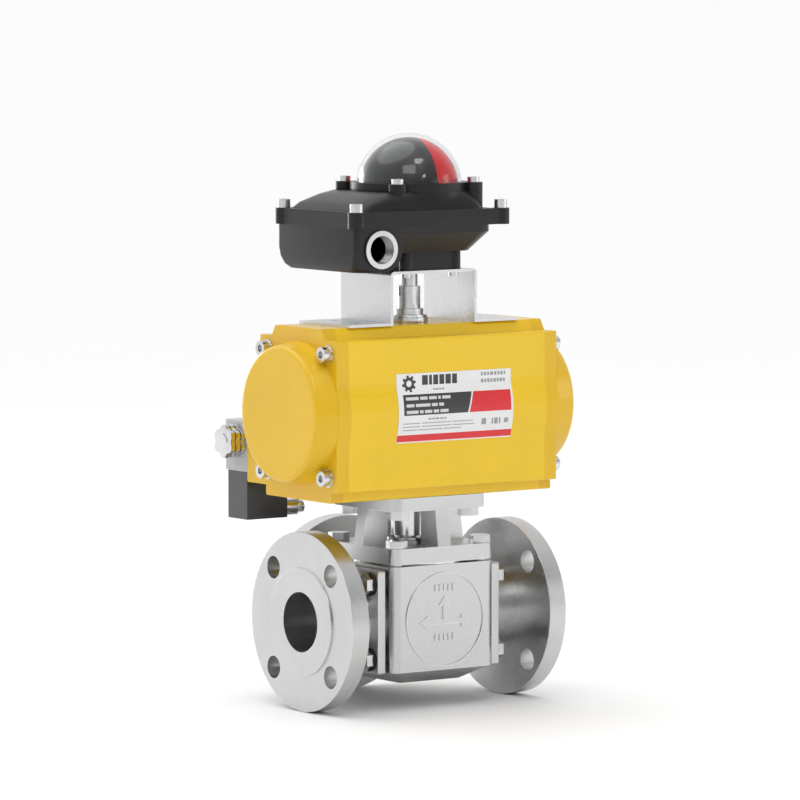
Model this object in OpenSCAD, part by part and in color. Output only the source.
// Three-way flanged ball valve turned by a double-acting rack-and-pinion pneumatic actuator,
// with a solenoid valve on the actuator's rear pad and a limit switch box on top.
// Origin: centre of the ball, where the stem axis (Z) crosses the through bore (X).

/* [Flanges and ports] */
// Outside diameter of a flange
flange_od = 152.4; // [150:0.1:155]
// Thickness of a flange with its raised face
flange_t = 18.5; // [17.5:0.1:20]
// Diameter of the raised face
raised_face_od = 92.1; // [88:0.1:95]
// Height of the raised face
raised_face_h = 1.6; // [1.5:0.1:2]
// Bolt circle of a flange
flange_pcd = 120.65; // [118:0.05:124]
// Bolt hole in a flange
flange_hole_d = 19.05; // [17:0.05:20]
// Bore of every port and of the ball
bore_d = 50.8; // [48:0.1:51]
// Ball centre to the face of a flange
centre_to_face = 112.2; // [110:0.1:120]
// Outside diameter of the neck between end plate and flange
neck_od = 64; // [62:0.5:70]

/* [Valve body] */
// Width and depth of the body block
block_w = 105; // [104:0.5:108]
// Top of the body block
block_top = 46.8; // [46:0.1:47.2]
// Bottom of the body block, below the ball's centre
block_bottom = -43; // [-45:0.5:-42]
// Depth of the tapered bottom
taper_depth = 11.5; // [10:0.5:14]
// Width of the flat under the tapered bottom
taper_w = 63; // [60:1:70]
// Width and height of a square end plate
end_plate_w = 88; // [86:0.5:90]
// Diameter of the ball
ball_d = 84; // [83.6:0.1:84.2]

/* [Mounting cage] */
// Underside of the cage's lower plate
cage_z0 = 48.6; // [48.4:0.1:49]
// Thickness of the lower plate
cage_lower_t = 13.4; // [12:0.1:14]
// Thickness of the upper plate
cage_upper_t = 11.6; // [11:0.1:12]
// Width of the upper plate
cage_upper_w = 96; // [94:1:98]
// Distance of the actuator bolts from each centre line
actuator_bolt_offset = 36.06; // [36:0.01:36.1]

/* [Actuator] */
// Underside of the actuator
act_z0 = 104.2; // [104:0.1:104.4]
// Height of the actuator
act_h = 145.2; // [144.8:0.1:145.6]
// Length over the end cap plates
act_len = 227.6; // [226:0.1:229]
// Width over the flat sides
act_w = 114; // [113:0.5:115]
// Diameter of the cylindrical bulge and of the end cap domes at their plates
bulge_d = 122; // [121:0.5:122.5]
// Bore of the cylinder
cylinder_d = 100; // [98:0.5:100]
// Thickness of an end cap plate
cap_t = 12.5; // [11:0.5:13]
// How far an end cap dome stands out of its plate
cap_dome_h = 20.3; // [19:0.1:21]
// Module of the pinion and racks
gear_module = 2; // [2:1:2]
// Teeth on the pinion
pinion_teeth = 18; // [18:1:18]

/* [Switch box] */
// Top of the sheet bracket
bracket_top = 295; // [294.5:0.1:295.4]
// Sheet thickness of the bracket
sheet_t = 2.5; // [2:0.1:2.6]
// Joint line between the box's base and cover
box_split = 337; // [336:0.5:338]
// Outside diameter of the clear dome
dome_d = 90.4; // [89:0.1:91]
// Length of the box in X
box_len = 146; // [144:1:148]
// Depth of the box in Y
box_depth = 118; // [116:1:119]

/* [Hidden] */
$fn = 96;

e = 0.01;                                   // overshoot of a cut
running = 0.05;                             // radial clearance of a running fit
bolt_gap = 0.15;                            // radial clearance of a bolt in its thread or hole

bore_r = bore_d / 2;
flange_bolt = flange_pcd / 2 * sin(45);
neck_r = neck_od / 2;
plate_x0 = block_w / 2 + 2.7;               // inner face of an end plate
plate_t = 7.8;
plate_x1 = plate_x0 + plate_t;
plate_bolt = 32;
seat_x = 40;                                // where a seat ends and the connector's spigot starts
seat_r = 33.8;
seat_bore_r = bore_r + 0.6;
ball_r = ball_d / 2;
ball_gap = 0.3;
cavity_r = ball_r + 0.8;
corner_r = 8;

m10_r = 5;
m10_af = 16;
m10_head = 6.6;
m8_r = 4;
m8_head_r = 6.5;
m5_r = 2.5;

cage_lower_top = cage_z0 + cage_lower_t;
cage_upper_bottom = act_z0 - cage_upper_t;
cage_bolt = 43;
stem_r = 12;
packing_r = 17;
packing_z0 = 53.4;
coupling_z0 = 68;
coupling_r = 16.4;
drive_w = 22;                               // square drive between coupling and pinion
stem_w = 16;                                // square drive between stem and coupling

act_cz = act_z0 + 73;                       // axis of the cylinder
act_top = act_z0 + act_h;
act_x = act_len / 2;
body_x = act_x - cap_t;
cyl_r = cylinder_d / 2;
dome_root_r = bulge_d / 2 - 0.3;            // the end cap domes taper from this radius
dome_tip_r = bulge_d / 2 - 3.6;             // to this one
dome_edge_r = 4;
foot_h = 8.7;                               // height of the narrower block under the main one
foot_w = 97.4;
crown_h = 9;                                // height of the tapered block on top
crown_w = 68.6;                             // its width on top and at its root
crown_root_w = 79;
blend_r = 30;                               // fillet between the bulge and the flat sides
pad_y = 77.5;                               // face of the air interface pad
pad_top = act_z0 + 75.8;
cap_bolt_y = 45.5;
cap_bolt_z = 51.9;
pitch_r = gear_module * pinion_teeth / 2;
stroke = pitch_r * PI / 2;
gear_h = 38;
piston_head_x = 62;                         // inner face of a piston's head at rest
piston_head_t = 22;
upper_journal_r = 12.5;
lower_journal_r = 22;
bearing_t = 2;
port_z = act_z0 + 42.8;                     // height of the air ports and of the spool
port_pitch = 24;
namur_screw = 16;
stop_x = 20;                                // travel stop screws, one each side of the stem axis
stop_z = act_cz + 31;
stop_tip_y = 14;
label_x0 = -53.4;
label_len = 118.4;
label_z0 = 152.2;
label_h = 58.3;

bracket_w = 89.2;
bracket_d = 74;
foot_reach = 87.6;
bend_r = 3.5;                               // outside radius of a bend
foot_hole = [65, 15];
post = [24.5, 30.7];
post_r = 6;
shaft_r = 6;

box_x0 = -96;
box_x1 = box_x0 + box_len;
box_r0 = 4;                                 // corners of the box on the left
box_r1 = 17;                                // corners of the box on the right
skirt_h = 9.9;
flange_z0 = box_split - 3.7;                // underside of the base's rim
ear = [-91.4, 57, 54];                      // X of the left ears, X of the right ears, Y of both
ear_r = 7.4;
deep_x1 = -47;                              // right side of the box's deep part
deep_z0 = 296.2;
bowl_wall_z = 327.3;                        // the bowl's wall turns inwards below this height
bowl_z0 = 311;
box_wall = 4;
conduit = [-70, 315.4];
conduit_y = -60.7;
conduit_r = 11.7;
platform_z = 361.8;                         // seat of the dome on the cover
dome_cz = 364.5;
dome_r = dome_d / 2;
dome_t = 2.6;
ring_top = 368.6;
dome_screw = 39.2;
dome_boss_r = 50.5;
dome_lug_r = 7.8;
dome_rim_r = 47.5;
drum_r = dome_r - 3.3;
drum_t = 2.4;
drum_z0 = 363;
drum_crown_r = 3;
panel_t = 1.2;                              // depth of the red panels in the drum
panel_angle = 55;
// Levels of the cover's shell above its skirt: height, left, right, half depth, left and right corners
cover_levels = [[box_split + skirt_h - 1, -90, 46, 53, 10, 17], [351.8, -84, 45.8, 51.2, 14, 18],
                [354.8, -78, 45.4, 49.8, 18, 20], [358.6, -70, 44.8, 47.6, 22, 22],
                [platform_z - 0.1, -60, 44, 44, 26, 26]];
// Levels of the base's deep part: height, inset, corner radius
deep_levels = [[flange_z0, 0.5, 4], [314, 0.5, 4], [306, 1.2, 5.5], [299.8, 3, 8], [deep_z0, 6, 10.5]];

spool_y = 92;                               // axis of the spool and of the knob
spool_r = 8;
spool_x0 = -80;
spool_len = 104;
air_port_r = 5.7;
air_port_depth = 7;
manifold_x0 = -82;
manifold_x1 = 46;
manifold_d = 30;
head_x0 = -114;                             // pilot head, left of the manifold
head_z0 = 121;
head_z1 = 164.6;
coil_x1 = -72.5;                            // solenoid coil, under the pilot head
connector_z = 87;
connector_len = 16.6;
coil_z0 = 80;

stainless = [0.76, 0.77, 0.78];
cast_steel = [0.70, 0.71, 0.72];
yellow = [0.91, 0.75, 0.15];
black = [0.13, 0.13, 0.14];
white = [0.93, 0.93, 0.92];
ptfe = [0.90, 0.90, 0.86];
rubber = [0.06, 0.06, 0.06];
silver = [0.82, 0.82, 0.84];

// ---------- shared shapes ----------

// Rectangle with round corners, centred
module round_rect(w, h, r) {
    square([w - 2 * r, h], center = true);
    square([w, h - 2 * r], center = true);
    for (sx = [-1, 1], sy = [-1, 1])
        translate([sx * (w / 2 - r), sy * (h / 2 - r)]) circle(r);
}

// Places children at the four corners of a rectangle of half sizes x and y
module four(x, y) {
    for (sx = [-1, 1], sy = [-1, 1]) translate([sx * x, sy * y, 0]) children();
}

// Hexagon bolt: head above z = 0, shank below it
module hex_bolt(r, af, head_h, length) {
    cylinder(d = af / cos(30), h = head_h, $fn = 6);
    translate([0, 0, -length]) cylinder(r = r, h = length + e, $fn = 32);
}

// Socket head screw: head above z = 0 with a hexagon socket, shank below it
module socket_screw(r, head_r, head_h, length) {
    difference() {
        cylinder(r = head_r, h = head_h, $fn = 32);
        translate([0, 0, head_h * 0.45]) cylinder(r = head_r * 0.52, h = head_h, $fn = 6);
    }
    translate([0, 0, -length]) cylinder(r = r, h = length + e, $fn = 32);
}

// Turns a shape that points along +Z so that it points along +X, -X, +Y or -Y
module to_x() { rotate([0, 90, 0]) children(); }
module to_minus_x() { rotate([0, -90, 0]) children(); }
module to_y() { rotate([-90, 0, 0]) children(); }
module to_minus_y() { rotate([90, 0, 0]) children(); }

module ring(r_out, r_in, h) {
    difference() {
        cylinder(r = r_out, h = h);
        translate([0, 0, -1]) cylinder(r = r_in, h = h + 2);
    }
}

// ---------- valve ----------

module port_pocket() {
    to_x() cylinder(r = seat_r + 0.2, h = block_w);
}

module plate_bolt_holes() {
    to_x() four(plate_bolt, plate_bolt) translate([0, 0, 42])
        cylinder(r = m10_r + bolt_gap, h = 40, $fn = 32);
}

// Raised marks on the front face: a circle, the flow paths of a T bore and two rows of bars
module front_relief() {
    translate([0, -block_w / 2, 0]) to_minus_y() {
        ring(40.2, 39.3, 0.9);
        linear_extrude(0.9) {
            translate([0, -2]) square([34, 4], center = true);
            translate([0, 6]) square([4, 14], center = true);
            for (s = [-1, 1]) translate([s * 17, -2]) polygon([[0, -6], [s * 9, 0], [0, 6]]);
            translate([0, 12]) polygon([[-6, 0], [6, 0], [0, 8]]);
            for (x = [-9 : 4.5 : 9], z = [-27, 15]) translate([x, -z]) square([2.6, 6], center = true);
        }
    }
}

module valve_body() color(cast_steel) difference() {
    union() {
        translate([0, 0, block_bottom]) linear_extrude(block_top - block_bottom)
            round_rect(block_w, block_w, corner_r);
        hull() {
            translate([0, 0, block_bottom - e]) linear_extrude(e)
                round_rect(block_w - 2, block_w - 2, corner_r);
            translate([0, 0, block_bottom - taper_depth]) linear_extrude(e)
                round_rect(taper_w, taper_w, 3);
        }
        front_relief();
    }
    sphere(cavity_r);
    cylinder(r = cavity_r, h = block_top + e);
    for (a = [0, 90, 180]) rotate([0, 0, a]) {
        port_pocket();
        plate_bolt_holes();
    }
    rotate([0, 0, -90]) to_x() cylinder(r = seat_r + 0.5, h = seat_x);
    four(cage_bolt, cage_bolt) translate([0, 0, 26]) cylinder(r = m10_r + bolt_gap, h = 30, $fn = 32);
}

// End plate, neck and flange as one casting, pointing along +X
module end_connector() color(cast_steel) difference() {
    union() {
        translate([plate_x0, 0, 0]) to_x() linear_extrude(plate_t)
            round_rect(end_plate_w, end_plate_w, 2);
        translate([seat_x, 0, 0]) to_x() cylinder(r = seat_r, h = 30);
        translate([plate_x1 - e, 0, 0]) to_x()
            cylinder(r = neck_r, h = centre_to_face - flange_t - plate_x1 + 1);
        translate([centre_to_face - flange_t, 0, 0]) to_x()
            cylinder(d = flange_od, h = flange_t - raised_face_h);
        translate([centre_to_face - raised_face_h - e, 0, 0]) to_x()
            cylinder(d = raised_face_od, h = raised_face_h + e);
    }
    to_x() cylinder(r = bore_r, h = centre_to_face + 1);
    to_x() four(flange_bolt, flange_bolt) translate([0, 0, centre_to_face - flange_t - 1])
        cylinder(d = flange_hole_d, h = flange_t + 2, $fn = 64);
    to_x() four(plate_bolt, plate_bolt) translate([0, 0, plate_x0 - 1])
        cylinder(r = m10_r + 0.4, h = plate_t + 2, $fn = 32);
}

module left_end_connector() rotate([0, 0, 180]) end_connector();
module right_end_connector() end_connector();
module rear_end_connector() rotate([0, 0, 90]) end_connector();

module at_plate_bolts() {
    for (a = [0, 90, 180]) rotate([0, 0, a])
        translate([plate_x1, 0, 0]) to_x() four(plate_bolt, plate_bolt) children();
}

module end_plate_washers() color(rubber) at_plate_bolts() ring(9.8, m10_r + 0.4, 1.6);

module end_plate_bolts() color(stainless) at_plate_bolts()
    translate([0, 0, 1.6]) hex_bolt(m10_r, m10_af, m10_head, 22);

module body_gaskets() color(silver) {
    for (a = [0, 90, 180]) rotate([0, 0, a])
        translate([block_w / 2, 0, 0]) to_x() ring(39.8, seat_r + 0.3, plate_x0 - block_w / 2);
    translate([0, 0, block_top]) ring(50.5, cavity_r + 0.2, cage_z0 - block_top);
}

module ball_seat() to_x() rotate_extrude() difference() {
    union() {
        translate([seat_bore_r, 26]) square([29.4 - seat_bore_r, 10]);
        translate([seat_bore_r, 34.4]) square([seat_r - seat_bore_r, seat_x - 34.4]);
    }
    circle(ball_r + ball_gap);
}

module ball_seats() color(ptfe) for (a = [0, 90, 180, 270]) rotate([0, 0, a]) ball_seat();

module ball() color(silver) difference() {
    sphere(ball_r);
    translate([-60, 0, 0]) to_x() cylinder(r = bore_r, h = 120);
    to_y() cylinder(r = bore_r, h = 60);
    translate([-60, -5, 35.5]) cube([120, 10, 20]);
}

// ---------- mounting cage ----------

// One rib between the plates, on the +X side, leaning outwards towards its foot
module cage_rib() {
    rib_w = 13.4;
    top_x = cage_upper_w / 2;
    foot_x = block_w / 2;
    translate([0, rib_w / 2, 0]) to_minus_y() linear_extrude(rib_w)
        polygon([[foot_x, cage_lower_top - 1], [top_x, cage_upper_bottom + 1],
                 [top_x - 22, cage_upper_bottom + 1], [foot_x - 25, cage_lower_top - 1]]);
}

module mounting_cage() color(cast_steel) difference() {
    union() {
        translate([0, 0, cage_z0]) linear_extrude(cage_lower_t) round_rect(block_w, block_w, corner_r);
        translate([0, 0, cage_upper_bottom]) linear_extrude(cage_upper_t)
            round_rect(cage_upper_w, cage_upper_w, corner_r);
        for (a = [0, 90, 180, 270]) rotate([0, 0, a]) cage_rib();
        translate([0, 0, 44.4]) cylinder(r = cavity_r - 0.2, h = 6);
        translate([0, 0, cage_lower_top - 1]) cylinder(r = 22, h = 3);
    }
    translate([0, 0, 40]) cylinder(r = 17.8, h = 9.2);
    translate([0, 0, 40]) cylinder(r = 14.2, h = 40);
    translate([0, 0, packing_z0]) cylinder(r = packing_r + 0.1, h = 30);
    translate([0, 0, cage_upper_bottom - 1]) cylinder(r = 27.5, h = 20);
    four(cage_bolt, cage_bolt) translate([0, 0, cage_z0 - 1])
        cylinder(r = m10_r + 0.5, h = cage_lower_t + 2, $fn = 32);
    four(actuator_bolt_offset, actuator_bolt_offset) translate([0, 0, cage_upper_bottom - 1])
        cylinder(r = m10_r + 0.5, h = cage_upper_t + 2, $fn = 32);
}

// Bolts between the lower plate and the valve body
module cage_lower_bolts() color(stainless) four(cage_bolt, cage_bolt)
    translate([0, 0, cage_lower_top]) rotate([0, 0, 20]) hex_bolt(m10_r, m10_af, m10_head, 30);

module cage_upper_bolts() color(stainless) four(actuator_bolt_offset, actuator_bolt_offset)
    translate([0, 0, cage_upper_bottom]) mirror([0, 0, 1])
        rotate([0, 0, 12]) hex_bolt(m10_r, m10_af, 7.4, 26);

module stem_bushing() color(ptfe) translate([0, 0, 49.2]) ring(14.1, stem_r + running, 4);

module stem_packing() color(ptfe) for (i = [0 : 2])
    translate([0, 0, packing_z0 + i * 2.5]) ring(packing_r, stem_r + running, 2.4);

module packing_gland() color(stainless) difference() {
    union() {
        translate([0, 0, 61]) cylinder(r = packing_r - 0.1, h = 3.5);
        translate([0, 0, 64.1]) cylinder(r = 19.5, h = 2.4);
    }
    translate([0, 0, 60]) cylinder(r = stem_r + 0.3, h = 20);
}

module valve_stem() color(stainless) {
    translate([-14, -4.9, 35.8]) cube([28, 9.8, 7]);
    translate([0, 0, 42.4]) cylinder(r = 17, h = 6);
    translate([0, 0, 48]) cylinder(r = stem_r, h = 27);
    translate([-stem_w / 2, -stem_w / 2, 74]) cube([stem_w, stem_w, 16]);
}

module stem_coupling() color(stainless) difference() {
    union() {
        translate([0, 0, coupling_z0]) cylinder(r = coupling_r, h = 104 - coupling_z0);
        translate([-drive_w / 2, -drive_w / 2, 103]) cube([drive_w, drive_w, 22]);
    }
    translate([0, 0, coupling_z0 - 1]) cylinder(r = stem_r + 0.3, h = 8.2);
    translate([-stem_w / 2 - 0.1, -stem_w / 2 - 0.1, 75])
        cube([stem_w + 0.2, stem_w + 0.2, 15.4]);
}

// ---------- actuator ----------

// Section of the actuator across its length, X of the sketch = Y of the model
module actuator_section() {
    translate([0, act_z0 + foot_h / 2 + 3]) round_rect(foot_w, foot_h + 6, 2);
    translate([0, act_top - crown_h]) polygon([
        [-crown_root_w / 2, -3], [crown_root_w / 2, -3], [crown_root_w / 2, 0],
        [crown_w / 2 + 0.6, crown_h - 1.2], [crown_w / 2 - 0.7, crown_h],
        [0.7 - crown_w / 2, crown_h], [-crown_w / 2 - 0.6, crown_h - 1.2], [-crown_root_w / 2, 0]]);
    translate([pad_y / 2, (act_z0 + foot_h + pad_top) / 2])
        round_rect(pad_y, pad_top - act_z0 - foot_h, 2);
    side_section(0);
}

// Flat sides, the cylinder's bulge and the fillets between them, a distance d outside the casting
module side_section(d) {
    side_h = act_h - foot_h - crown_h;
    fillet_y = act_w / 2 + blend_r;
    fillet_z = sqrt(pow(bulge_d / 2 + blend_r, 2) - pow(fillet_y, 2));
    edge_y = (bulge_d / 2 + d) * fillet_y / (bulge_d / 2 + blend_r) - 0.1;
    translate([0, act_z0 + foot_h + side_h / 2]) round_rect(act_w + 2 * d, side_h, 1.8);
    translate([0, act_cz]) {
        circle(r = bulge_d / 2 + d, $fn = 192);
        for (m = [0, 1]) mirror([m, 0]) difference() {
            translate([act_w / 2 - 3, -fillet_z]) square([edge_y - act_w / 2 + 3, 2 * fillet_z]);
            for (s = [-1, 1]) translate([fillet_y, s * fillet_z]) circle(r = blend_r - d, $fn = 192);
        }
    }
}

// Extrudes a Y-Z section from x0 to x1
module along_x(x0, x1) {
    translate([x0, 0, 0]) rotate([90, 0, 90]) linear_extrude(x1 - x0) children();
}

module actuator_body() color(yellow) difference() {
    along_x(-body_x, body_x) actuator_section();
    translate([-150, 0, act_cz]) to_x() cylinder(r = cyl_r, h = 300, $fn = 192);
    translate([0, 0, act_z0 - 1]) cylinder(r = lower_journal_r + bearing_t, h = 50);
    translate([0, 0, act_cz]) cylinder(r = upper_journal_r + bearing_t, h = 90);
    four(actuator_bolt_offset, actuator_bolt_offset) translate([0, 0, act_z0 - 1])
        cylinder(r = m10_r + bolt_gap, h = 18, $fn = 32);
    four(foot_hole.x, foot_hole.y) translate([0, 0, act_top - 14])
        cylinder(r = m5_r + bolt_gap, h = 20, $fn = 32);
    for (s = [-1, 1]) translate([0, 0, act_cz]) to_x() four(cap_bolt_z, cap_bolt_y)
        translate([0, 0, s * (body_x - 10) - 11]) cylinder(r = m8_r + bolt_gap, h = 22, $fn = 32);
    for (s = [-1, 1]) translate([s * port_pitch / 2, 20, port_z])
        to_y() cylinder(r = 4, h = 80, $fn = 32);
    for (s = [-1, 1]) translate([0, pad_y - 12, port_z + s * namur_screw])
        to_y() cylinder(r = m5_r + bolt_gap, h = 20, $fn = 32);
    for (s = [-1, 1]) translate([s * stop_x, 20, stop_z])
        to_y() cylinder(r = m8_r + bolt_gap, h = 60, $fn = 32);
}

// End cap pointing along +X
module end_cap() color(yellow) difference() {
    union() {
        along_x(body_x, act_x) actuator_section();
        translate([act_x, 0, act_cz]) to_x() rotate_extrude($fn = 192)
            polygon([[0, -1], [dome_root_r, -1], [dome_root_r, 0],
                     for (t = [0 : 15 : 90]) [dome_tip_r - dome_edge_r * (1 - cos(t)),
                                              cap_dome_h - dome_edge_r * (1 - sin(t))],
                     [0, cap_dome_h]]);
    }
    translate([body_x - 1, 0, act_cz]) to_x() cylinder(r = cyl_r, h = cap_t + cap_dome_h - 6, $fn = 192);
    translate([0, 0, act_cz]) to_x() four(cap_bolt_z, cap_bolt_y)
        translate([0, 0, body_x - 1]) cylinder(r = m8_r + 0.4, h = cap_t + 2, $fn = 32);
    translate([body_x - 1, 0, act_cz]) to_x() difference() {
        cylinder(r = cyl_r + 5, h = 3);
        translate([0, 0, -1]) cylinder(r = cyl_r + 2, h = 5);
    }
}

module right_end_cap() end_cap();
module left_end_cap() mirror([1, 0, 0]) end_cap();

module end_cap_seals() color(rubber) for (s = [0, 1]) mirror([s, 0, 0])
    translate([body_x, 0, act_cz]) to_x() ring(cyl_r + 4.9, cyl_r + 2.1, 1.9);

module at_cap_screws() {
    for (s = [0, 1]) mirror([s, 0, 0])
        translate([act_x, 0, act_cz]) to_x() four(cap_bolt_z, cap_bolt_y) children();
}

module end_cap_washers() color(silver) at_cap_screws() ring(7.6, m8_r + 0.4, 1.2);

module end_cap_screws() color(silver) at_cap_screws()
    translate([0, 0, 1.2]) socket_screw(m8_r, m8_head_r, 7.2, 28);

// Rack teeth profile: a tooth space is centred on x = 0, teeth point towards +Y from y = 0
module rack_teeth(first, last) {
    p = PI * gear_module;
    a = tan(20);
    ad = gear_module * 0.95;
    de = gear_module * 1.2;
    half = p / 4 - 0.12;
    for (i = [first : last]) translate([(i + 0.5) * p, 0])
        polygon([[-half - de * a, -de - e], [-half + ad * a, ad],
                 [half - ad * a, ad], [half + de * a, -de - e]]);
}

// Piston with its rack in front of the pinion (-Y side), head on the +X side
module piston() color(silver) {
    rack_h = 34;
    rack_back = 37;
    tooth_root = pitch_r + gear_module * 1.2;
    translate([0, 0, act_cz]) {
        difference() {
            translate([piston_head_x, 0, 0]) to_x() cylinder(r = cyl_r - 0.3, h = piston_head_t, $fn = 192);
            translate([piston_head_x + 7, 0, 0]) to_x() ring(cyl_r + 1, cyl_r - 4, 4);
            translate([piston_head_x + 14, 0, 0]) to_x() ring(cyl_r + 1, cyl_r - 2.4, 5);
            translate([piston_head_x + 10, 0, 0]) to_x() cylinder(r = 30, h = 20);
        }
        translate([-42, -rack_back, -rack_h / 2])
            cube([piston_head_x + 42 + 1, rack_back - tooth_root, rack_h]);
        translate([0, -pitch_r, -rack_h / 2]) linear_extrude(rack_h) rack_teeth(-6, 1);
    }
}

module right_piston() piston();
module left_piston() rotate([0, 0, 180]) piston();

module piston_rings() color(rubber) translate([piston_head_x, 0, act_cz]) {
    translate([7.1, 0, 0]) to_x() ring(cyl_r - 0.1, cyl_r - 3.9, 3.8);
    translate([14.1, 0, 0]) to_x() ring(cyl_r - 0.1, cyl_r - 2.3, 4.8);
}

module right_piston_rings() piston_rings();
module left_piston_rings() rotate([0, 0, 180]) piston_rings();

// Point on an involute of base radius rb at unwinding angle t, in degrees
function involute(rb, t) = [rb * (cos(t) + t * PI / 180 * sin(t)), rb * (sin(t) - t * PI / 180 * cos(t))];
function unwind(rb, r) = sqrt(pow(r / rb, 2) - 1) * 180 / PI;
function spin(p, a) = [p.x * cos(a) - p.y * sin(a), p.x * sin(a) + p.y * cos(a)];

// Gear outline with a tooth centred on +X
function gear_points(m, n, backlash) =
    let (rp = m * n / 2, rb = rp * cos(20), ra = rp + 0.95 * m, rf = rp - 1.2 * m,
         at_pitch = involute(rb, unwind(rb, rp)),
         half = 90 / n - backlash / 2 / rp * 180 / PI + atan2(at_pitch.y, at_pitch.x),
         steps = 5)
    [for (k = [0 : n - 1]) let (a = k * 360 / n) each concat(
        [spin([rf, 0], a - half)],
        [for (i = [0 : steps]) spin(involute(rb, unwind(rb, rb + (ra - rb) * i / steps)), a - half)],
        [for (i = [steps : -1 : 0]) let (q = involute(rb, unwind(rb, rb + (ra - rb) * i / steps)))
            spin([q.x, -q.y], a + half)],
        [spin([rf, 0], a + half)])];

module pinion() color(stainless) difference() {
    union() {
        translate([0, 0, act_z0 + 0.6]) cylinder(r = lower_journal_r - running, h = 51);
        translate([0, 0, act_cz - gear_h / 2 - 3]) cylinder(r = 14, h = gear_h + 6);
        translate([0, 0, act_cz - gear_h / 2]) linear_extrude(gear_h)
            rotate(90) polygon(gear_points(gear_module, pinion_teeth, 0.24));
        translate([0, 0, act_cz + gear_h / 2 + 2]) cylinder(r = upper_journal_r - running, h = 62.8);
        translate([0, 0, stop_z - 5]) linear_extrude(10) stop_cam();
        translate([0, 0, 260]) cylinder(r = 9.8, h = 20);
    }
    translate([-drive_w / 2 - 0.1, -drive_w / 2 - 0.1, act_z0 - 1])
        cube([drive_w + 0.2, drive_w + 0.2, 22.6]);
    translate([-20, -2, 272]) cube([40, 4, 20]);
    for (s = [0, 1]) mirror([0, s, 0]) translate([-20, 8.4, 264]) cube([40, 10, 20]);
}

// Cam with two faces at right angles that meet the travel stop screws at 0 and 90 degrees
module stop_cam() {
    circle(13.8);
    difference() {
        circle(28);
        translate([-60, stop_tip_y - 0.2]) square([120, 60]);
        translate([stop_tip_y - 0.2, -60]) square([60, 120]);
        translate([-60, -60]) square([60, 60]);
    }
}

module pinion_bearings() color(ptfe) {
    translate([0, 0, act_z0]) ring(lower_journal_r + bearing_t, lower_journal_r, 20);
    translate([0, 0, act_top - 20]) ring(upper_journal_r + bearing_t, upper_journal_r, 20);
}

module pinion_washer() color(silver) translate([0, 0, act_top + 0.05])
    ring(16.4, upper_journal_r + 0.05, 4.4);

module pinion_circlip() color(stainless) translate([0, 0, act_top + 4.6]) difference() {
    ring(15.4, upper_journal_r + 0.05, 1.8);
    translate([0, -1.5, -1]) cube([30, 3, 5]);
}

module travel_stop_screws() color(silver) for (s = [-1, 1])
    translate([s * stop_x, stop_tip_y, stop_z]) to_y() difference() {
        cylinder(r = m8_r, h = 72 - stop_tip_y, $fn = 32);
        translate([0, 0, 72 - stop_tip_y - 4]) cylinder(r = 2.3, h = 10, $fn = 6);
    }

module travel_stop_nuts() color(silver) for (s = [-1, 1]) translate([s * stop_x, act_w / 2, stop_z])
    to_y() difference() {
        cylinder(d = 13 / cos(30), h = 6.5, $fn = 6);
        translate([0, 0, -1]) cylinder(r = m8_r + bolt_gap, h = 10, $fn = 32);
    }

// Thin plate that follows the flat side and the bulge
module label_plate() color(white) intersection() {
    along_x(label_x0, label_x0 + label_len) difference() {
        side_section(0.6);
        side_section(0);
    }
    translate([label_x0, -70, label_z0]) cube([label_len, 40, label_h]);
}

// ---------- bracket on top of the actuator ----------

// Inverted U with round upper corners, open at the bottom
module bracket_arch(w, top, r) {
    translate([-w / 2, act_top - 1]) square([w, top - r - act_top + 1]);
    translate([-w / 2 + r, act_top]) square([w - 2 * r, top - act_top]);
    for (s = [-1, 1]) translate([s * (w / 2 - r), top - r]) circle(r);
}

module switch_bracket() color(stainless) difference() {
    rotate([90, 0, 0]) translate([0, 0, -bracket_d / 2]) linear_extrude(bracket_d) difference() {
        union() {
            bracket_arch(bracket_w, bracket_top, bend_r);
            translate([-foot_reach, act_top]) square([2 * foot_reach, sheet_t]);
        }
        bracket_arch(bracket_w - 2 * sheet_t, bracket_top - sheet_t, bend_r - sheet_t);
        translate([-foot_reach - 1, act_top - 2]) square([2 * foot_reach + 2, 2]);
    }
    translate([0, 0, bracket_top - 10]) cylinder(r = 10, h = 20);
    four(post.x, post.y) translate([0, 0, bracket_top - 10]) cylinder(r = m5_r + 0.3, h = 20, $fn = 32);
    four(foot_hole.x, foot_hole.y) translate([0, 0, act_top - 1]) cylinder(r = m5_r + 0.3, h = 10, $fn = 32);
    four(foot_hole.x, foot_hole.y) translate([0, 0, act_top + 0.4])
        cylinder(r1 = m5_r + 0.3, r2 = m5_r + 2.9, h = sheet_t, $fn = 48);
}

module bracket_foot_screws() color(silver) four(foot_hole.x, foot_hole.y) {
    difference() {
        translate([0, 0, act_top + 0.5]) cylinder(r1 = m5_r, r2 = m5_r + 2.2, h = sheet_t - 0.6, $fn = 48);
        translate([0, 0, act_top + 1.3]) cylinder(r = 1.7, h = 5, $fn = 6);
    }
    translate([0, 0, act_top - 12]) cylinder(r = m5_r, h = 12.6, $fn = 32);
}

module box_mounting_screws() color(silver) four(post.x, post.y)
    translate([0, 0, bracket_top - sheet_t]) mirror([0, 0, 1]) socket_screw(m5_r, 4.3, 3, 12);

// ---------- solenoid valve ----------

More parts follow.
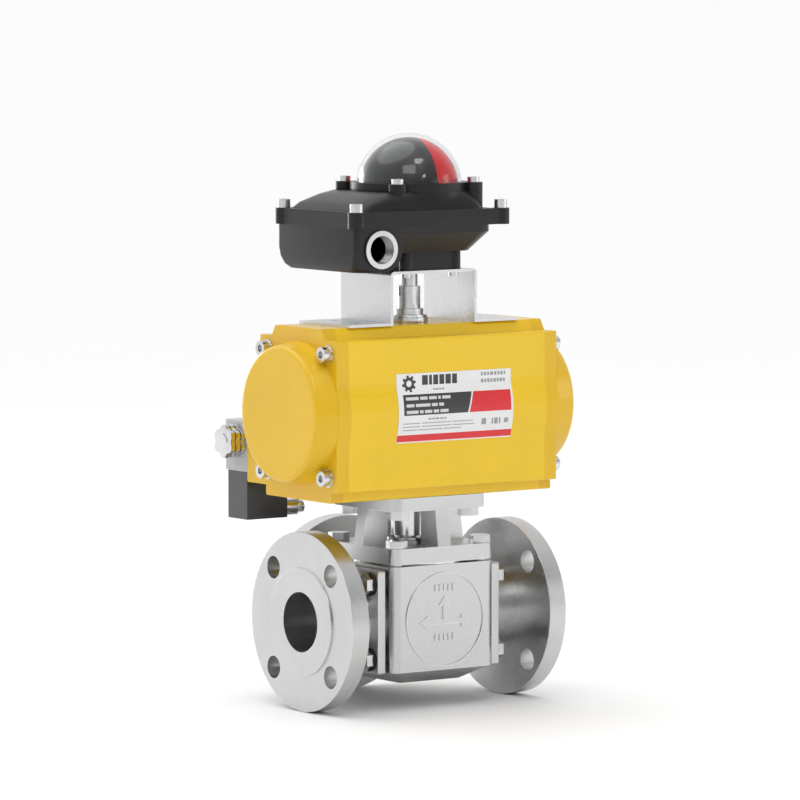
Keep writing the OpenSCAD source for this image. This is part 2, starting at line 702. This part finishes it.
module solenoid_valve_body() color(silver) difference() {
    translate([manifold_x0, pad_y, port_z - 23]) cube([manifold_x1 - manifold_x0, manifold_d, 46]);
    translate([manifold_x0 - 1, spool_y, port_z]) to_x()
        cylinder(r = spool_r + 0.1, h = manifold_x1 - manifold_x0 + 2);
    for (s = [-1, 1]) translate([s * port_pitch / 2, pad_y - 1, port_z])
        to_y() cylinder(r = 4, h = 10, $fn = 32);
    for (x = [-24, 0, 24]) translate([x, pad_y + manifold_d, port_z]) to_minus_y() {
        translate([0, 0, -1]) cylinder(r = air_port_r, h = air_port_depth + 1);
        cylinder(r = 3, h = manifold_d / 2, $fn = 32);
    }
    for (s = [-1, 1]) translate([0, pad_y - 1, port_z + s * namur_screw])
        to_y() cylinder(r = m5_r + 0.3, h = 40, $fn = 32);
    for (s = [-1, 1]) translate([0, pad_y + 26, port_z + s * namur_screw])
        to_y() cylinder(r = 4.6, h = 10, $fn = 32);
}

module solenoid_screws() color(silver) for (s = [-1, 1])
    translate([0, pad_y + 26, port_z + s * namur_screw]) to_y() socket_screw(m5_r, 4.3, 3.8, 34);

module valve_spool() color(stainless) translate([spool_x0, spool_y, port_z]) to_x() {
    cylinder(r = 5, h = spool_len);
    for (x = [0, 24, 48, 72, spool_len - 10]) translate([0, 0, x]) cylinder(r = spool_r, h = 10);
}

module spool_plug() color(silver) translate([manifold_x1, spool_y, port_z]) to_x() {
    difference() {
        cylinder(r = 11, h = 5);
        translate([0, 0, 2.5]) cylinder(r = 4, h = 5, $fn = 6);
    }
    translate([0, 0, -8]) cylinder(r = spool_r, h = 8 + e);
}

module pilot_head() color(silver) difference() {
    translate([head_x0, pad_y, head_z0]) cube([manifold_x0 - head_x0, 33, head_z1 - head_z0]);
    translate([head_x0 - 1, spool_y, port_z]) to_x() cylinder(r = 6, h = 26);
    translate([spool_x0 - 10, spool_y, port_z]) to_x() cylinder(r = 8.4, h = 12);
}

module solenoid_coil() color(black) difference() {
    translate([head_x0, pad_y, coil_z0]) cube([coil_x1 - head_x0, 29.6, head_z0 - coil_z0]);
    translate([coil_x1 - 12, spool_y, connector_z]) to_x() cylinder(r = 5.2, h = 20);
}

module coil_connector() color(silver) translate([coil_x1, spool_y, connector_z]) to_x() difference() {
    union() {
        translate([0, 0, -11]) cylinder(r = 5, h = 12);
        cylinder(r = 7.4, h = connector_len);
        translate([0, 0, connector_len - 1]) cylinder(r = 5.4, h = 8.4);
    }
    translate([0, 0, 10]) cylinder(r = 4.2, h = 20);
}

module connector_nut() color(silver) translate([coil_x1 + connector_len, spool_y, connector_z]) to_x()
    difference() {
        cylinder(d = 13 / cos(30), h = 3.4, $fn = 6);
        translate([0, 0, -1]) cylinder(r = 5.4 + bolt_gap, h = 9);
    }

// Three scalloped discs on one hub
module override_knob() color(silver) translate([head_x0 - 0.3, spool_y, port_z]) to_minus_x() difference() {
    union() {
        cylinder(r = 10, h = 14.7);
        for (z = [0.2, 5.4, 10.6]) translate([0, 0, z]) linear_extrude(4.1) {
            circle(12);
            for (a = [0 : 60 : 300]) rotate(a) translate([9.4, 0]) circle(4.9, $fn = 48);
        }
        translate([0, 0, -14]) cylinder(r = 5.9, h = 15);
    }
    translate([0, 0, 13.4]) difference() {
        cylinder(r = 7.4, h = 3);
        translate([0, 0, -1]) cylinder(r = 5.6, h = 6);
        translate([-20, -20, -1]) cube([20, 40, 6]);
        translate([-1, 0, -1]) cube([20, 40, 6]);
    }
}

// ---------- limit switch box ----------

// Plan view of a box from x0 to x1 and of half depth y, with left corners r0 and right corners r1
module box_plan(x0, x1, y, r0, r1) {
    translate([x0 + r0, -y]) square([x1 - x0 - r0 - r1, 2 * y]);
    translate([x0, r0 - y]) square([r0 + e, 2 * (y - r0)]);
    translate([x1 - r1 - e, r1 - y]) square([r1 + e, 2 * (y - r1)]);
    for (s = [-1, 1]) {
        translate([x0 + r0, s * (y - r0)]) circle(r0, $fn = 32);
        translate([x1 - r1, s * (y - r1)]) circle(r1, $fn = 64);
    }
}

module box_outline(inset) {
    box_plan(box_x0 + inset, box_x1 - inset, box_depth / 2 - inset, max(box_r0 - inset, 1), box_r1 - inset);
}

module ear_outline() {
    for (sy = [-1, 1]) {
        translate([ear.x, sy * ear.z]) circle(ear_r);
        translate([ear.y, sy * ear.z]) circle(ear_r);
        translate([ear.y - 24, sy * ear.z - 5]) square([24, 10]);
    }
}

// Line the cover's gasket follows, round the inside of the left ears' screws
module seal_outline(inset) difference() {
    box_outline(inset);
    for (s = [-1, 1]) translate([ear.x, s * ear.z]) circle(2.6 + inset);
}

module at_ears() {
    for (x = [ear.x, ear.y], sy = [-1, 1]) translate([x, sy * ear.z, 0]) children();
}

module box_bowl(wall) hull() {
    translate([0, 0, bowl_wall_z + wall]) linear_extrude(e)
        box_plan(deep_x1 - 10 + wall, box_x1 - 0.6 - wall, box_depth / 2 - 0.6 - wall, 2, box_r1 - wall);
    translate([0, 0, bowl_z0 + wall]) linear_extrude(e)
        box_plan(deep_x1 - 5 + wall, 38.5 - wall, 44 - wall, 2, box_r1 - wall);
}

// The deep part, with its lower right edge rounded about the conduit's axis
module deep_bowl(wall) hull() {
    for (level = deep_levels) translate([0, 0, level.x + wall]) linear_extrude(e)
        box_plan(box_x0 + level.y + wall, (level.x > flange_z0 - 1 ? deep_x1 : conduit.x + 4) - wall,
                 box_depth / 2 - level.y - wall, level.z, 3);
    translate([conduit.x + 3, -(box_depth / 2 - 1) + wall, deep_z0 + 20]) to_y()
        cylinder(r = 20 - wall, h = box_depth - 2 - 2 * wall, $fn = 48);
}

module switch_box_base() color(black) difference() {
    union() {
        difference() {
            union() {
                translate([0, 0, flange_z0]) linear_extrude(box_split - flange_z0) box_outline(0);
                translate([0, 0, bowl_wall_z]) linear_extrude(flange_z0 - bowl_wall_z + e)
                    box_outline(0.6);
                box_bowl(0);
                deep_bowl(0);
            }
            deep_bowl(box_wall);
            box_bowl(box_wall);
            translate([0, 0, bowl_wall_z + box_wall - e]) linear_extrude(20) box_outline(5);
        }
        translate([0, 0, flange_z0]) linear_extrude(box_split - flange_z0) ear_outline();
        four(post.x, post.y) translate([0, 0, bracket_top]) cylinder(r = post_r, h = 20);
        translate([-post.x, -post.y - 4, bracket_top]) cube([2 * post.x, 2 * post.y + 8, 18]);
        translate([-post.x - 4, -post.y, bracket_top]) cube([2 * post.x + 8, 2 * post.y, 18]);
        translate([conduit.x, conduit_y + 1.2, conduit.y]) to_y() cylinder(r = 16.6, h = 13);
    }
    translate([0, 0, box_split - 1.2]) linear_extrude(2) difference() {
        seal_outline(1.6);
        seal_outline(3.4);
    }
    cylinder(r = shaft_r + 0.1, h = 400);
    translate([0, 0, bracket_top - 1]) cylinder(r = 10, h = 12);
    four(post.x, post.y) translate([0, 0, bracket_top - 1])
        cylinder(r = m5_r + bolt_gap, h = 13, $fn = 32);
    at_ears() translate([0, 0, flange_z0 - 1]) cylinder(r = 3.1, h = 10, $fn = 32);
    translate([conduit.x, conduit_y - 1, conduit.y]) to_y() cylinder(r = 13.6, h = 14);
    translate([conduit.x, conduit_y - 1, conduit.y]) to_y() cylinder(r = conduit_r + 0.5, h = 20);
}

// Metal ring with the conduit thread, standing in the base's front boss
module conduit_insert() color(silver) translate([conduit.x, conduit_y, conduit.y]) to_y() {
    difference() {
        union() {
            cylinder(r = 16.1, h = 1.2);
            cylinder(r = 13.5, h = 13);
        }
        translate([0, 0, -1]) cylinder(r = conduit_r, h = 20);
    }
}

module cover_gasket() color(rubber) translate([0, 0, box_split - 1.15]) linear_extrude(1.1) difference() {
    seal_outline(1.8);
    seal_outline(3.2);
}

module cover_shell(wall, drop) hull() for (level = cover_levels)
    translate([0, 0, level[0] - drop]) linear_extrude(e)
        box_plan(level[1] + wall, level[2] - wall, level[3] - wall, level[4] - wall, level[5] - wall);

module switch_box_cover() color(black) difference() {
    skirt_top = box_split + skirt_h;
    union() {
        difference() {
            union() {
                translate([0, 0, box_split]) linear_extrude(skirt_h) box_outline(0);
                cover_shell(0, 0);
                translate([0, 0, skirt_top - 1]) cylinder(r = dome_boss_r, h = platform_z - skirt_top + 1);
            }
            translate([0, 0, box_split - 1]) linear_extrude(skirt_h - 2) box_outline(4);
            cover_shell(3.8, 6);
        }
        translate([0, 0, box_split]) linear_extrude(skirt_h) ear_outline();
        four(dome_screw, dome_screw) translate([0, 0, skirt_top - 1])
            cylinder(r = dome_lug_r, h = platform_z - skirt_top + 1);
    }
    translate([0, 0, platform_z - 3]) cylinder(r = dome_rim_r + 0.2, h = 10);
    cylinder(r = shaft_r + 0.1, h = 400);
    at_ears() translate([0, 0, box_split - 1]) cylinder(r = 3.3, h = skirt_h + 2, $fn = 32);
    four(dome_screw, dome_screw) translate([0, 0, platform_z - 9])
        cylinder(r = 2.6, h = 12, $fn = 32);
}

module cover_screws() color(silver) at_ears() translate([0, 0, box_split + skirt_h])
    socket_screw(3, 5.6, 7.2, skirt_h + 3.2);

module dome_screws() color(silver) four(dome_screw, dome_screw) translate([0, 0, ring_top])
    socket_screw(2.5, 5.2, 4.4, 14);

// Round clamp ring with four lugs, over the dome's rim
module dome_ring() color(black) translate([0, 0, platform_z]) linear_extrude(ring_top - platform_z)
    difference() {
        union() {
            circle(dome_boss_r);
            for (sx = [-1, 1], sy = [-1, 1]) translate([sx * dome_screw, sy * dome_screw])
                circle(dome_lug_r);
        }
        circle(dome_r + 0.15, $fn = 128);
        for (sx = [-1, 1], sy = [-1, 1]) translate([sx * dome_screw, sy * dome_screw])
            circle(2.8, $fn = 32);
    }

module indicator_dome() color([0.9, 0.93, 0.95, 0.4]) difference() {
    union() {
        intersection() {
            translate([0, 0, dome_cz]) sphere(dome_r, $fn = 128);
            translate([-60, -60, platform_z - 3]) cube([120, 120, 80]);
        }
        translate([0, 0, platform_z - 3]) cylinder(r = dome_rim_r, h = 2.9);
    }
    translate([0, 0, dome_cz]) sphere(dome_r - dome_t, $fn = 128);
    translate([0, 0, platform_z - 4]) cylinder(r = dome_r - dome_t - 0.05, h = 4);
}

// Section of a round shell about the dome's centre, from a distance x0 off the axis outwards
module drum_section(r_out, r_in, x0) difference() {
    intersection() {
        translate([0, dome_cz]) circle(r_out);
        translate([x0, drum_z0]) square([60, 60]);
    }
    translate([0, dome_cz]) circle(r_in);
}

// Shell with two raised sectors, a crown button and a hub on the shaft
module indicator_drum() color(black) difference() {
    union() {
        difference() {
            translate([0, 0, dome_cz]) sphere(drum_r - panel_t, $fn = 128);
            translate([0, 0, dome_cz]) sphere(drum_r - drum_t, $fn = 128);
            translate([-60, -60, drum_z0 - 60]) cube([120, 120, 60]);
        }
        for (a = [90, 270]) rotate([0, 0, a + panel_angle])
            rotate_extrude(angle = 180 - panel_angle, $fn = 128)
                drum_section(drum_r, drum_r - panel_t - 0.2, drum_crown_r - 1);
        translate([0, 0, dome_cz + drum_r - drum_t - 1]) cylinder(r = drum_crown_r, h = drum_t + 0.9);
        translate([0, 0, drum_z0 + 1]) cylinder(r = 8, h = dome_cz - drum_z0 + drum_r - drum_t - 0.9);
    }
    cylinder(r = shaft_r + 0.02, h = 385);
}

// Two red sectors that fill the drum's recessed ones
module indicator_panels() color([0.85, 0.12, 0.12])
    for (a = [90, 270]) rotate([0, 0, a + 0.2]) rotate_extrude(angle = panel_angle - 0.4, $fn = 128)
        drum_section(drum_r, drum_r - panel_t + 0.02, drum_crown_r + 0.1);

module switch_shaft() color(stainless) {
    translate([-7.4, -1.9, 272.2]) cube([14.8, 3.8, 10]);
    translate([0, 0, 280.3]) cylinder(r = 7.4, h = 10);
    translate([0, 0, 290]) cylinder(r = shaft_r, h = 92);
}

module switch_cams() color([0.80, 0.30, 0.10]) for (i = [0, 1]) translate([0, 0, 319 + i * 8])
    linear_extrude(6.6) rotate(i * 90 + 200) difference() {
        union() {
            circle(12);
            translate([9, 0]) circle(6);
        }
        circle(shaft_r + 0.02);
    }

// Two switches, one above the other, each with its lever beside a cam
module micro_switches() color([0.10, 0.10, 0.12]) translate([-42, -14, bowl_z0 + box_wall]) {
    cube([20, 28, 4.5]);
    for (z = [4, 12]) translate([0, 0, z]) {
        cube([20, 28, 7.4]);
        translate([19.5, 8, 2]) cube([2.6, 5, 3]);
    }
}

module terminal_strip() color([0.18, 0.42, 0.22]) translate([-85, -36, deep_z0 + box_wall]) difference() {
    cube([17, 72, 14]);
    for (i = [0 : 7]) translate([8.5, 5 + i * 8.9, 6]) cylinder(r = 2.6, h = 10, $fn = 32);
}

valve_body();
left_end_connector();
right_end_connector();
rear_end_connector();
end_plate_bolts();
end_plate_washers();
body_gaskets();
ball_seats();
ball();
mounting_cage();
cage_lower_bolts();
cage_upper_bolts();
stem_bushing();
stem_packing();
packing_gland();
valve_stem();
stem_coupling();
actuator_body();
left_end_cap();
right_end_cap();
end_cap_screws();
end_cap_washers();
end_cap_seals();
left_piston();
right_piston();
left_piston_rings();
right_piston_rings();
pinion();
pinion_bearings();
pinion_washer();
pinion_circlip();
travel_stop_screws();
travel_stop_nuts();
label_plate();
switch_bracket();
bracket_foot_screws();
box_mounting_screws();
solenoid_valve_body();
valve_spool();
spool_plug();
pilot_head();
solenoid_coil();
coil_connector();
connector_nut();
override_knob();
solenoid_screws();
switch_box_base();
switch_box_cover();
cover_gasket();
cover_screws();
conduit_insert();
switch_shaft();
switch_cams();
micro_switches();
terminal_strip();
indicator_drum();
indicator_panels();
indicator_dome();
dome_ring();
dome_screws();
